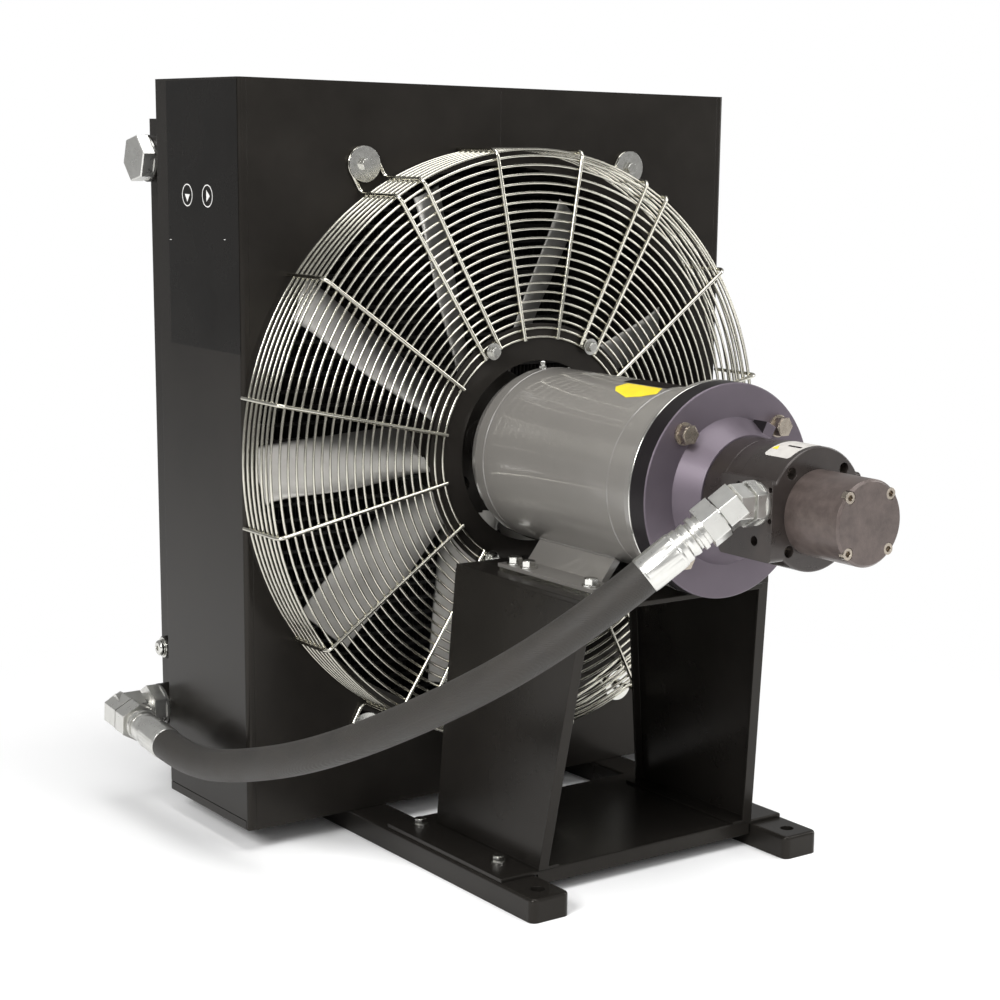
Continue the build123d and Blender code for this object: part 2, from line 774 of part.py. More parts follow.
# ---- Gerotor pump: inner rotor on the shaft, ring running off centre ----
GEROTOR_R = 24.5                # roller lobe centres in the ring
LOBE_R = 7.2
LOBE_GAP = 0.08
RING_R = 34.2
CHAMBER_FRONT = -483.0
BODY_REAR = -518.5
ring_lobes = INNER_LOBES + 1
pump_z = AXIS_Z - ECCENTRIC


def inner_point(i, count):
    """Point on the inner rotor, the envelope of the ring's lobes."""
    t = 2 * pi * i / count
    cx = GEROTOR_R * cos(t) + ECCENTRIC * cos(ring_lobes * t)
    cy = GEROTOR_R * sin(t) + ECCENTRIC * sin(ring_lobes * t)
    dx = cx + INNER_LOBES * ECCENTRIC * cos(ring_lobes * t)
    dy = cy + INNER_LOBES * ECCENTRIC * sin(ring_lobes * t)
    step = (LOBE_R + LOBE_GAP) / hypot(dx, dy)
    return (cx - dx * step, cy - dy * step)


with BuildPart() as gerotor_inner:
    with BuildSketch(front(CHAMBER_FRONT - 0.1)):
        with BuildLine():
            Spline(*[inner_point(i, 120) for i in range(120)], periodic=True)
        make_face()
        Circle(PUMP_SHAFT_R, mode=Mode.SUBTRACT)
    extrude(amount=CHAMBER_FRONT - BODY_REAR - 0.2)
save(gerotor_inner.part, "gerotor_inner")

cavity_r = GEROTOR_R + 2 * ECCENTRIC - LOBE_R + 0.2
lobe_spots = [polar(GEROTOR_R, -90 / 7 + 360 / 7 * i) for i in range(7)]
with BuildPart() as gerotor_ring:
    with BuildSketch(front(CHAMBER_FRONT - 0.1, pump_z)):
        Circle(RING_R)
        Circle(cavity_r, mode=Mode.SUBTRACT)
        with Locations(*lobe_spots):
            Circle(LOBE_R)
    extrude(amount=CHAMBER_FRONT - BODY_REAR - 0.2)
save(gerotor_ring.part, "gerotor_ring")
save(ring(-340, 218, PUMP_SHAFT_R, 0.5), "pump_shaft")

# ---- Adapter between motor and pump ----
ADAPT_FACE = -386.0
ADAPT_FRONT = -414.4
FRONT_REAR = -440.5
PILOT_R = 29.95
pump_spots = [(s * 35.5, t * 39) for s in (-1, 1) for t in (-1, 1)]

cone = turned([
    (C_FACE_Y, C_FACE_R - SEAM), (C_FACE_Y - SEAM, C_FACE_R),
    (ADAPT_FACE + 1.2, C_FACE_R), (ADAPT_FACE, C_FACE_R - 1.2),
    (ADAPT_FACE, 78), (ADAPT_FRONT, 63.2),
    (ADAPT_FRONT, 30), (-404, 30), (-404, 34), (C_FACE_Y - 3.3, 34),
    (C_FACE_Y - 3.3, REGISTER_R + 0.05), (C_FACE_Y, REGISTER_R + 0.05),
])
with BuildPart() as adapter_flange:
    add(cone)
    for angle in (62, -62):
        with BuildSketch(front(ADAPT_FACE + 1)):
            with Locations(Location((*polar(72, angle), 0), angle)):
                Rectangle(16, 14)
        extrude(amount=22)
    with BuildSketch(front(C_FACE_Y)):
        with Locations(*c_spots):
            Circle(6.75)
    extrude(amount=30, mode=Mode.SUBTRACT)
    with BuildSketch(front(ADAPT_FRONT)):
        with Locations(*pump_spots):
            Circle(4.1)
    extrude(amount=-16, mode=Mode.SUBTRACT)
save(adapter_flange.part, "adapter_flange")
adapter_bolts = hex_bolts(
    front(ADAPT_FACE), c_spots, 19, 9.5, 12.0, 5.3, 36.0, 2.5
)
save(adapter_bolts, "adapter_bolts")
save(ring(-409, 11, 20, PUMP_SHAFT_R + 0.08), "shaft_seal")

# ---- Pump housing: front, body and cover ----
SUCTION_X = 60.0
PORT_Y = -493.6
OUTLET_Z = 462.6
with BuildPart() as pump_front:
    with BuildSketch(front(ADAPT_FRONT)):
        Circle(61.5)
    extrude(amount=ADAPT_FRONT - FRONT_REAR)
    chamfer(pump_front.edges().filter_by(GeomType.CIRCLE), 0.8)
    with BuildSketch(front(ADAPT_FRONT + 8)):
        Circle(PILOT_R)
    extrude(amount=8)
    with BuildSketch(front(ADAPT_FRONT + 8)):
        Circle(20)
    extrude(amount=14, mode=Mode.SUBTRACT)
    with BuildSketch(front(ADAPT_FRONT + 8)):
        Circle(PUMP_SHAFT_R + 0.1)
        with Locations(*pump_spots):
            Circle(4.1)
    extrude(amount=40, mode=Mode.SUBTRACT)
save(pump_front.part, "pump_front")

pad_mid = (BODY_REAR + FRONT_REAR) / 2
port_screws = [(s * 23.6 - 2.4, t * 15.6) for s in (-1, 1) for t in (-1, 1)]
cover_spots = [(s * 27.5, t * 27.5) for s in (-1, 1) for t in (-1, 1)]
with BuildPart() as pump_body:
    with BuildSketch(front(FRONT_REAR)):
        Circle(61.5)
    extrude(amount=24)
    with BuildSketch(front(FRONT_REAR - 24)):
        Circle(63.5)
    extrude(amount=FRONT_REAR - 24 - BODY_REAR)
    fillet(pump_body.edges().filter_by(GeomType.CIRCLE).sort_by(Axis.Y)[0], 2)
    for face in (left(-30, pad_mid, 446), right(30, pad_mid, 446)):
        with BuildSketch(face):
            RectangleRounded(FRONT_REAR - BODY_REAR, 82, 5)
        extrude(amount=30)
        with BuildSketch(face.offset(30)):
            Rectangle(FRONT_REAR - BODY_REAR, 82)
        extrude(amount=8, mode=Mode.SUBTRACT)
    with BuildSketch(front(CHAMBER_FRONT, pump_z)):
        Circle(RING_R + 0.05)
    extrude(amount=50, mode=Mode.SUBTRACT)
    with BuildSketch(front(FRONT_REAR)):
        Circle(PUMP_SHAFT_R + 0.1)
        with Locations(*pump_spots):
            Circle(4.1)
    extrude(amount=80, mode=Mode.SUBTRACT)
    with BuildSketch(front(BODY_REAR)):
        with Locations(*pump_spots):
            Circle(6.2)
    extrude(amount=-16, mode=Mode.SUBTRACT)
    with BuildSketch(front(BODY_REAR, pump_z)):
        with Locations(*cover_spots):
            Circle(3.2)
    extrude(amount=-26, mode=Mode.SUBTRACT)
    with BuildSketch(front(CHAMBER_FRONT + 9, pump_z)):
        SlotArc(CenterArc((0, 0), 20, 140, 80), 8)
        SlotArc(CenterArc((0, 0), 20, -40, 80), 8)
    extrude(amount=9, mode=Mode.SUBTRACT)
    with BuildSketch(left(-SUCTION_X, PORT_Y, OUTLET_Z)):
        Circle(PUMP_PORT_R)
    extrude(amount=-20, mode=Mode.SUBTRACT)
    with BuildSketch(right(SUCTION_X, PORT_Y, pump_z)):
        Circle(PORT_BORE_R)
    extrude(amount=-18, mode=Mode.SUBTRACT)
    with BuildSketch(right(SUCTION_X - 17, CHAMBER_FRONT + 4.5, pump_z)):
        Circle(4.4)
    extrude(amount=-23, mode=Mode.SUBTRACT)
    with BuildSketch(left(17 - SUCTION_X, CHAMBER_FRONT + 4.5, OUTLET_Z - 4)):
        Circle(4.4)
    extrude(amount=-23, mode=Mode.SUBTRACT)
    with BuildSketch(left(-SUCTION_X, PORT_Y, OUTLET_Z)):
        with Locations(*port_screws):
            Circle(2.8)
        with Locations((0, -38.2)):
            Circle(5)
    extrude(amount=-9, mode=Mode.SUBTRACT)
save(pump_body.part, "pump_body")
pump_screws = socket_screws(
    front(BODY_REAR + 16), pump_spots, 5.8, 7, 3.9, 102
)
save(pump_screws, "pump_screws")

COVER_REAR = -593.5
with BuildPart() as pump_cover:
    with BuildSketch(front(BODY_REAR, pump_z)):
        Circle(43.7)
    extrude(amount=BODY_REAR - COVER_REAR)
    rim = pump_cover.edges().filter_by(GeomType.CIRCLE).sort_by(Axis.Y)[0]
    chamfer(rim, 2.5)
    with BuildSketch(front(BODY_REAR)):
        Circle(PUMP_SHAFT_R + 0.1)
    extrude(amount=41.5, mode=Mode.SUBTRACT)
    with BuildSketch(front(BODY_REAR, pump_z)):
        with Locations(*cover_spots):
            Circle(3.3)
    extrude(amount=80, mode=Mode.SUBTRACT)
    with BuildSketch(front(COVER_REAR, pump_z)):
        with Locations(*cover_spots):
            Circle(6.4)
    extrude(amount=-7, mode=Mode.SUBTRACT)
save(pump_cover.part, "pump_cover")
cover_screws = socket_screws(
    front(COVER_REAR + 7, pump_z), cover_spots, 6.0, 6.5, 3.1, 90
)
save(cover_screws, "cover_screws")

# ---- Oil line: pump outlet to the lower port of the core ----
HOSE_POINTS = [
    (-169.4, -456.1, 393.5),
    (-225.9, -428.9, 343.4),
    (-298.3, -338.2, 264.7),
    (-358.8, -164.1, 170.9),
    (-376.8, 3.7, 117.4),
    (-383.0, 103.4, 100.7),
    (-383.0, 162.5, 107.2),
]
hose_points = [Vector(*p) for p in HOSE_POINTS]


def bend_radii(points):
    """Largest even bends: 0.45 of the shorter run over tan(half the turn)."""
    radii = []
    for a, b, c in zip(points, points[1:], points[2:]):
        half = radians((b - a).get_angle(c - b)) / 2
        radii.append(0.45 * min((b - a).length, (c - b).length) / tan(half))
    return radii


hose_radii = bend_radii(hose_points)
with BuildPart() as hose:
    with BuildLine() as hose_path:
        FilletPolyline(*hose_points, radius=hose_radii)
    line = hose_path.line
    with BuildSketch(Plane(origin=line @ 0, z_dir=line % 0)):
        Circle(HOSE_D / 2)
    sweep(path=line)
save(hose.part, "hose")
hose_length = sum(edge.length for edge in line.edges())
hose_volume = pi * HOSE_D**2 / 4 * hose_length
print("hose bend radii", [round(r, 1) for r in hose_radii])
print("hose length", round(hose_length, 1))
print("hose volume against section x length", hose.part.volume / hose_volume)

out = (hose_points[1] - hose_points[0]).normalized()
home = (hose_points[-1] - hose_points[-2]).normalized()
bend_up = hose_points[0] - out * 110.6
bend_low = hose_points[-1] + home * 120.7


def lathe(origin, along, profile):
    """Solid of revolution about a line, from (distance, radius) points."""
    side = along.cross(Vector(0, 0, 1))
    with BuildPart() as solid:
        with BuildSketch(Plane(origin=origin, x_dir=along, z_dir=side)):
            with BuildLine():
                Polyline(*profile, close=True)
            make_face()
        revolve(axis=Axis(origin, along))
    return solid.part


def hexagon(origin, along, start, end, flats, edge=1.0):
    """Chamfered hex bar on a line between two distances."""
    top = Vector(0, 0, 1)
    across = (top - along * along.dot(top)).normalized()
    base = Plane(origin=origin + along * start, x_dir=across, z_dir=along)
    with BuildPart() as bar:
        with BuildSketch(base):
            RegularPolygon(flats / 2, 6, major_radius=False)
        extrude(amount=end - start)
        corner = flats / 2 * 1.1547
        with BuildSketch(base):
            Circle(corner - edge * 0.3)
        extrude(amount=end - start, mode=Mode.INTERSECT)
    return bar.part


west = Vector(-1, 0, 0)
pump_wall = Vector(-SUCTION_X, PORT_Y, OUTLET_Z)
reach = -SUCTION_X - bend_up.X
pump_elbow = joined(
    lathe(pump_wall, west, [(-18, 0), (-18, 15.3), (0, 15.3), (0, 22.5),
                            (3, 22.5), (3, 0)]),
    hexagon(pump_wall, west, 3, 15, 41),
    lathe(pump_wall, west, [(15, 0), (15, 17), (19, 17), (19, 0)]),
    hexagon(pump_wall, west, 18, reach + 3, 38),
    hexagon(bend_up, out, -8, 14, 38),
    lathe(bend_up, out, [(13, 0), (13, 13.5), (16, 13.5), (16, 0)]),
)
save(pump_elbow, "pump_elbow")
swivel_nuts = joined(
    hexagon(bend_up, out, 16, 36, 41.3),
    hexagon(hose_points[-1], home, 75, 97, 41.3),
)
save(swivel_nuts, "swivel_nuts")

END_PROFILE = [
    (0, 0), (0, 18.75), (1, 19.3), (42, 19.3), (43, 18.9), (44, 18.3),
    (50, 18.3), (52, 16.5), (56, 17.6), (60, 17.6), (62, 15.2), (64.5, 15.2),
    (65, 18.6), (70, 18.6), (70.6, 16.4), (75, 16.4), (75, 0),
]
upper_profile = [(110.6 - t * 0.9946, r) for t, r in END_PROFILE]
save(lathe(bend_up, out, upper_profile), "hose_end_upper")
save(lathe(hose_points[-1], home, END_PROFILE), "hose_end_lower")

low_wall = Vector(-BOSS_X, CORE_MID_Y, PORT_Z_LOW)
port_adapter = joined(
    lathe(low_wall, west, [(-16, 0), (-16, PORT_BORE_R - 0.1),
                           (0, PORT_BORE_R - 0.1), (0, 26), (3, 26), (3, 0)]),
    hexagon(low_wall, west, 3, 18, 48),
    lathe(low_wall, west, [(17, 0), (17, 18), (27, 18), (27, 0)]),
)
save(port_adapter, "port_adapter")
low_reach = -BOSS_X - bend_low.X
elbow_lower = joined(
    hexagon(low_wall, west, 27, low_reach + 9, 40),
    lathe(hose_points[-1], home, [(97, 0), (97, 15), (101, 15), (101, 0)]),
    hexagon(hose_points[-1], home, 100, 129, 40),
)
save(elbow_lower, "elbow_lower")
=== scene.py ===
import bpy
import bmesh
import json
from math import cos, sin, pi, radians
from mathutils import Matrix, Vector, noise


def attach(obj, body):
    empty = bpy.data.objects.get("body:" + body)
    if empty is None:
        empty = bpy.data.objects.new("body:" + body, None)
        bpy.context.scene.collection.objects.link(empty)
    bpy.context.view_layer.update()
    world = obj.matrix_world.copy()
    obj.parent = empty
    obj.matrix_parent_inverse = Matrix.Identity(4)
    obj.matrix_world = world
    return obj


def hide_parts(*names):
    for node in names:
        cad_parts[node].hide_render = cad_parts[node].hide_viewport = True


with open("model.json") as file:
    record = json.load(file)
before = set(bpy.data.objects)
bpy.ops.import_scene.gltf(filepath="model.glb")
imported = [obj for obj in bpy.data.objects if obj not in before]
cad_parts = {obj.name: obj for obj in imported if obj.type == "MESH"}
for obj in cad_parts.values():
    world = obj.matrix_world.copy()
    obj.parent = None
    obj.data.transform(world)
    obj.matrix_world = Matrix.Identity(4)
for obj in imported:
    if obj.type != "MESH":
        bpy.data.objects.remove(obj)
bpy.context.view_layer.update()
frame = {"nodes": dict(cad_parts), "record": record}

# Metres, in the frame's own axes.
AXIS_Z = 0.454            # height of the motor and fan axis
SHROUD_FACE_Y = 0.0375    # front of the shroud's face sheet
PANEL_X = -0.343          # outside of the shroud's left panel
SHELL_R = 0.1015          # motor shell
PUMP_R = 0.0635           # pump body
FILM = 0.00012            # thickness of a label or printed sign

# ---- Camera: solved from the straight edges and circles in view ----
PHOTO_PX = 1000
LENS_PX = 2063.47
SENSOR = 36
AZIMUTH, TILT, ROLL = radians(-37.764), radians(11.912), radians(1.161)


def add_camera():
    look = Vector((-sin(AZIMUTH) * cos(TILT), cos(AZIMUTH) * cos(TILT), -sin(TILT)))
    flat = Vector((cos(AZIMUTH), sin(AZIMUTH), 0))
    rise = flat.cross(look)
    across = flat * cos(ROLL) + rise * sin(ROLL)
    above = rise * cos(ROLL) - flat * sin(ROLL)
    turn = Matrix((across, above, -look)).transposed().to_4x4()
    data = bpy.data.cameras.new("camera")
    data.sensor_width = SENSOR
    data.lens = LENS_PX * SENSOR / PHOTO_PX
    data.shift_x = -0.093835
    data.shift_y = 0.088933
    cam = bpy.data.objects.new("camera", data)
    bpy.context.scene.collection.objects.link(cam)
    cam.matrix_world = Matrix.Translation((-1.42058, -1.99157, 0.79785)) @ turn
    bpy.context.scene.camera = cam


add_camera()


# ---- Materials ----
def add_node(nt, kind, inputs=None):
    """New shader node with values for its named inputs."""
    made = nt.nodes.new("ShaderNode" + kind)
    for key, value in (inputs or {}).items():
        made.inputs[key].default_value = value
    return made


def surface(name, color, rough, metallic=0.0, coat=0.0, coat_rough=0.08,
            vary=0.12, vary_scale=14.0, rough_vary=0.08, bump=0.0,
            bump_scale=900.0, grain=(1, 1, 1), edge=0.0008, level=0.5,
            tint=(1.0, 1.0, 1.0)):
    """Principled surface with colour and roughness drift, fine bump and soft edges."""
    mat = bpy.data.materials.new(name)
    mat.use_nodes = True
    nt = mat.node_tree
    links = nt.links
    bsdf = nt.nodes["Principled BSDF"]
    coord = add_node(nt, "TexCoord")

    drift = add_node(nt, "TexNoise", {"Scale": vary_scale, "Detail": 5.0,
                                      "Roughness": 0.6})
    links.new(coord.outputs["Object"], drift.inputs["Vector"])
    ramp = add_node(nt, "ValToRGB")
    low, high = ramp.color_ramp.elements
    low.position, high.position = 0.3, 0.7
    low.color = [c * (1 - vary) for c in color] + [1]
    high.color = [min(1, c * (1 + vary)) for c in color] + [1]
    links.new(drift.outputs["Fac"], ramp.inputs["Fac"])
    links.new(ramp.outputs["Color"], bsdf.inputs["Base Color"])

    spread = add_node(nt, "MapRange", {"From Min": 0.3, "From Max": 0.7,
                                       "To Min": max(0.02, rough - rough_vary),
                                       "To Max": min(1.0, rough + rough_vary)})
    links.new(drift.outputs["Fac"], spread.inputs["Value"])
    links.new(spread.outputs["Result"], bsdf.inputs["Roughness"])

    if edge:
        soft = add_node(nt, "Bevel", {"Radius": edge})
        soft.samples = 4
        links.new(soft.outputs["Normal"], bsdf.inputs["Normal"])
    if bump:
        place = add_node(nt, "Mapping", {"Scale": grain})
        links.new(coord.outputs["Object"], place.inputs["Vector"])
        fine = add_node(nt, "TexNoise", {"Scale": bump_scale, "Detail": 3.0})
        links.new(place.outputs["Vector"], fine.inputs["Vector"])
        dent = add_node(nt, "Bump", {"Strength": 1.0, "Distance": bump})
        links.new(fine.outputs["Fac"], dent.inputs["Height"])
        if edge:
            links.new(soft.outputs["Normal"], dent.inputs["Normal"])
        links.new(dent.outputs["Normal"], bsdf.inputs["Normal"])

    bsdf.inputs["Metallic"].default_value = metallic
    bsdf.inputs["Coat Weight"].default_value = coat
    bsdf.inputs["Coat Roughness"].default_value = coat_rough
    bsdf.inputs["Specular IOR Level"].default_value = level
    bsdf.inputs["Specular Tint"].default_value = (*tint, 1)
    return mat


def hose_cover():
    """Matte wrapped rubber: cloth weave pressed into a dark brown-black cover."""
    mat = surface("hose_cover", (0.021, 0.018, 0.0145), 0.62, vary=0.2,
                  vary_scale=30, edge=0.0)
    nt = mat.node_tree
    links = nt.links
    bsdf = nt.nodes["Principled BSDF"]
    coord = nt.nodes["Texture Coordinate"]
    weave = add_node(nt, "TexWave", {"Scale": 260.0, "Distortion": 1.5,
                                     "Detail": 1.0})
    weave.bands_direction = "DIAGONAL"
    links.new(coord.outputs["Object"], weave.inputs["Vector"])
    lumps = add_node(nt, "TexNoise", {"Scale": 420.0})
    links.new(coord.outputs["Object"], lumps.inputs["Vector"])
    both = add_node(nt, "Math", {1: 0.5})
    both.operation = "MULTIPLY_ADD"
    links.new(weave.outputs["Fac"], both.inputs[0])
    links.new(lumps.outputs["Fac"], both.inputs[2])
    dent = add_node(nt, "Bump", {"Distance": 0.0004})
    links.new(both.outputs["Value"], dent.inputs["Height"])
    links.new(dent.outputs["Normal"], bsdf.inputs["Normal"])
    bsdf.inputs["Sheen Weight"].default_value = 0.05
    return mat


def turned_steel():
    """Turned adapter: fine rings about the motor axis and a darker outer rim, the dark
    being painted shade for the rim's dark reflection.
    """
    mat = surface("adapter_steel", (0.125, 0.104, 0.125), 0.5, metallic=0.7,
                  coat=0.12, coat_rough=0.15, vary=0.1, vary_scale=16,
                  rough_vary=0.04, edge=0.001)
    nt = mat.node_tree
    links = nt.links
    bsdf = nt.nodes["Principled BSDF"]
    coord = nt.nodes["Texture Coordinate"]
    place = add_node(nt, "Mapping", {"Location": (0, 0, -AXIS_Z)})
    links.new(coord.outputs["Object"], place.inputs["Vector"])
    rings = add_node(nt, "TexWave", {"Scale": 420.0, "Distortion": 0.6})
    rings.wave_type = "RINGS"
    rings.rings_direction = "Y"
    links.new(place.outputs["Vector"], rings.inputs["Vector"])
    dent = add_node(nt, "Bump", {"Distance": 0.00001})
    links.new(rings.outputs["Fac"], dent.inputs["Height"])
    links.new(nt.nodes["Bevel"].outputs["Normal"], dent.inputs["Normal"])
    links.new(dent.outputs["Normal"], bsdf.inputs["Normal"])

    # Painted shade: surfaces that face straight out from the axis are darker than the
    # rest, standing in for the dark reflection along the outer rim.
    facing = add_node(nt, "SeparateXYZ")
    links.new(coord.outputs["Normal"], facing.inputs["Vector"])
    along = add_node(nt, "Math")
    along.operation = "ABSOLUTE"
    links.new(facing.outputs["Y"], along.inputs[0])
    rim_shade_mask = add_node(nt, "MapRange", {"From Min": 0.1, "From Max": 0.3})
    links.new(along.outputs["Value"], rim_shade_mask.inputs["Value"])
    rim_shade_mix = add_node(nt, "Mix")
    rim_shade_mix.data_type = "RGBA"
    # painted shade colour laid on the outward-facing rim
    rim_shade_mix.inputs["A"].default_value = (0.016, 0.013, 0.015, 1)
    links.new(rim_shade_mask.outputs["Result"], rim_shade_mix.inputs["Factor"])
    links.new(nt.nodes["Color Ramp"].outputs["Color"], rim_shade_mix.inputs["B"])
    links.new(rim_shade_mix.outputs["Result"], bsdf.inputs["Base Color"])
    return mat


WARM = (1.0, 0.94, 0.86)
black = surface("black_enamel", (0.0125, 0.0112, 0.0098), 0.24, vary=0.2,
                vary_scale=9, rough_vary=0.03, bump=0.000005, bump_scale=160,
                edge=0.0012, level=0.2, tint=WARM)
core_black = surface("core_black", (0.014, 0.013, 0.012), 0.45, vary=0.3,
                     bump=0.00004, bump_scale=500, edge=0.0, level=0.3)
motor_paint = surface("motor_grey", (0.172, 0.163, 0.150), 0.3, coat=1.0,
                      coat_rough=0.07, vary=0.05, vary_scale=6,
                      rough_vary=0.03, bump=0.00001, bump_scale=140)
adapter_steel = turned_steel()
pump_cast = surface("pump_cast", (0.105, 0.082, 0.074), 0.38, metallic=0.45,
                    coat=0.2, coat_rough=0.3, vary=0.22, vary_scale=90,
                    rough_vary=0.05, bump=0.00012, bump_scale=620)
pump_smooth = surface("pump_smooth", (0.038, 0.031, 0.028), 0.3, metallic=0.4,
                      coat=0.25, coat_rough=0.2, vary=0.15, vary_scale=40,
                      rough_vary=0.05, bump=0.00004, bump_scale=500)
zinc_wire = surface("zinc_wire", (0.52, 0.505, 0.44), 0.17, metallic=1.0,
                    vary=0.1, vary_scale=60, rough_vary=0.03, edge=0.0)
zinc_steel = surface("zinc_steel", (0.62, 0.615, 0.58), 0.2, metallic=1.0,
                     vary=0.06, vary_scale=160, rough_vary=0.04,
                     bump=0.000006, bump_scale=1200, edge=0.0004)
bolt_steel = surface("bolt_steel", (0.42, 0.37, 0.31), 0.28, metallic=1.0,
                     vary=0.12, vary_scale=140, rough_vary=0.05,
                     bump=0.000008, edge=0.0005)
fitting_zinc = surface("fitting_zinc", (0.62, 0.615, 0.585), 0.3, metallic=0.9,
                       vary=0.05, vary_scale=90, rough_vary=0.04,
                       bump=0.000008, edge=0.0007)
fan_metal = surface("fan_metal", (0.36, 0.35, 0.33), 0.34, metallic=0.9,
                    vary=0.15, vary_scale=18, rough_vary=0.05,
                    bump=0.00002, bump_scale=300, grain=(1, 5, 1))
ground = surface("ground_steel", (0.5, 0.5, 0.5), 0.24, metallic=1.0,
                 vary=0.1, bump=0.00001, grain=(1, 12, 1))
lamination = surface("lamination", (0.15, 0.15, 0.16), 0.45, metallic=0.8,
                     vary=0.2, bump=0.0001, bump_scale=60, grain=(0.1, 30, 0.1))
copper = surface("winding_copper", (0.5, 0.21, 0.09), 0.3, metallic=0.8,
                 vary=0.3, vary_scale=60, bump=0.0004, bump_scale=180)
rubber = surface("seal_rubber", (0.02, 0.02, 0.02), 0.6, vary=0.2,
                 bump=0.00002)
yellow = surface("label_yellow", (0.78, 0.62, 0.02), 0.35, coat=0.3,
                 vary=0.08, vary_scale=60, edge=0.0)
white = surface("label_white", (0.5, 0.48, 0.45), 0.4, vary=0.08,
                vary_scale=90, edge=0.0)
print_white = surface("print_white", (0.72, 0.71, 0.69), 0.5, vary=0.04,
                      edge=0.0)
plate_dark = surface("plate_dark", (0.016, 0.014, 0.013), 0.8, vary=0.2,
                     vary_scale=80, edge=0.0, level=0.0)
vinyl = surface("decal_black", (0.006, 0.0055, 0.005), 0.26, vary=0.15,
                vary_scale=12, edge=0.0, level=0.16, tint=WARM)
cover = hose_cover()

by_slot = {
    "black_paint": black, "core_paint": core_black, "motor_grey": motor_paint,
    "adapter_paint": adapter_steel, "pump_iron": pump_smooth,
    "zinc_wire": zinc_wire, "zinc_steel": zinc_steel, "bolt_steel": bolt_steel,
    "zinc_fitting": fitting_zinc, "fan_metal": fan_metal,
    "ground_steel": ground, "lamination": lamination,
    "winding_copper": copper, "hose_rubber": cover, "seal_rubber": rubber,
}
slots = {s["node"]: s["material_slot"] for s in frame["record"]["subparts"]}
for name, node in frame["nodes"].items():
    mat = pump_cast if name == "pump_cover" else by_slot[slots[name]]
    for place in node.material_slots:
        place.material = mat


# ---- Mesh pieces ----
def new_mesh(name, bm, mat, body, smooth=True):
    """Object from a bmesh, with its material and body."""
    mesh = bpy.data.meshes.new(name)
    bmesh.ops.recalc_face_normals(bm, faces=bm.faces)
    bm.to_mesh(mesh)
    bm.free()
    if smooth:
        mesh.shade_smooth()
    obj = bpy.data.objects.new(name, mesh)
    bpy.context.scene.collection.objects.link(obj)
    mesh.materials.append(mat)
    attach(obj, body)
    return obj


def thicken(obj):
    """Give a flat film its thickness, outwards."""
    solid = obj.modifiers.new("thick", "SOLIDIFY")
    solid.thickness = FILM
    solid.offset = 1


# ---- Hose: the route's own points, as one smooth curve between its fittings ----
ROUTE = [
    (-0.1694, -0.4561, 0.3935), (-0.2259, -0.4289, 0.3434),
    (-0.2983, -0.3382, 0.2647), (-0.3588, -0.1641, 0.1709),
    (-0.3768, 0.0037, 0.1174), (-0.3830, 0.1034, 0.1007),
    (-0.3830, 0.1625, 0.1072),
]
HOSE_D = 0.0375
curve = bpy.data.curves.new("hose_line", "CURVE")
curve.dimensions = "3D"
spline = curve.splines.new("NURBS")
spline.points.add(len(ROUTE) - 1)
for point, spot in zip(spline.points, ROUTE):
    point.co = (*spot, 1)
spline.order_u = 3
spline.use_endpoint_u = True
spline.resolution_u = 24
curve.bevel_depth = HOSE_D / 2
curve.bevel_resolution = 12
curve.use_fill_caps = True
curve.materials.append(cover)
hose = bpy.data.objects.new("hose_line", curve)
bpy.context.scene.collection.objects.link(hose)
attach(hose, "frame")
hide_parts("hose")

# ---- Crimped ferrules: raised lands, side by side round each hose end ----
FERRULE_R = 0.0193
LANDS = 10
LAND_STEPS = 6
LAND_START, LAND_END = 0.002, 0.041     # along the ferrule, from the hose's end
LAND_RAMP = 0.0015
LAND_SUNK, LAND_LIFT = -0.0004, 0.00045
LAND_EDGE = 0.0003                      # how far a land's long edges are sunk


def crimp(name, origin, along):
    """The raised lands of one ferrule."""
    along = Vector(along).normalized()
    side = along.orthogonal().normalized()
    other = along.cross(side)
    half = pi / LANDS * 0.8
    profile = ((LAND_START, LAND_SUNK), (LAND_START + LAND_RAMP, LAND_LIFT),
               (LAND_END - LAND_RAMP, LAND_LIFT), (LAND_END, LAND_SUNK))
    bm = bmesh.new()
    for k in range(LANDS):
        mid = 2 * pi * k / LANDS
        rows = []
        for t, lift in profile:
            row = []
            for j in range(LAND_STEPS + 1):
                part = 2 * j / LAND_STEPS - 1
                a = mid + half * part
                fade = 1 - abs(part) ** 4
                r = FERRULE_R - LAND_EDGE + (lift + LAND_EDGE) * fade
                row.append(bm.verts.new(
                    Vector(origin) + along * t
                    + (side * cos(a) + other * sin(a)) * r))
            rows.append(row)
        for low, high in zip(rows, rows[1:]):
            for j in range(LAND_STEPS):
                bm.faces.new((low[j], low[j + 1], high[j + 1], high[j]))
    return new_mesh(name, bm, fitting_zinc, "frame")


crimp("crimp_upper", ROUTE[0], Vector(ROUTE[0]) - Vector(ROUTE[1]))
crimp("crimp_lower", ROUTE[-1], Vector(ROUTE[-1]) - Vector(ROUTE[-2]))

# ---- Labels on the motor and the pump ----
LABEL_ROWS = 10
LABEL_GAP = 0.0002        # from the surface to the first layer, and to the next


def curved_label(name, outline, radius, mat):
    """Thin label wrapped round the motor axis; outline holds (y, degrees)."""
    bm = bmesh.new()
    bm.faces.new([bm.verts.new((y, radians(a) * radius, 0)) for y, a in outline])
    low = min(a for y, a in outline)
    high = max(a for y, a in outline)
    for i in range(1, LABEL_ROWS):
        cut = radians(low + (high - low) * i / LABEL_ROWS) * radius
        bmesh.ops.bisect_plane(bm, geom=bm.verts[:] + bm.edges[:] + bm.faces[:],
                               plane_co=(0, cut, 0), plane_no=(0, 1, 0))
    for vert in bm.verts:
        y, a = vert.co.x, vert.co.y / radius
        vert.co = (radius * cos(a), y, AXIS_Z + radius * sin(a))
    thicken(new_mesh(name, bm, mat, "frame", smooth=False))


def box_outline(near, far, low, high):
    """Four corners, from near to far along Y and low to high in degrees."""
    return [(near, low), (near, high), (far, high), (far, low)]


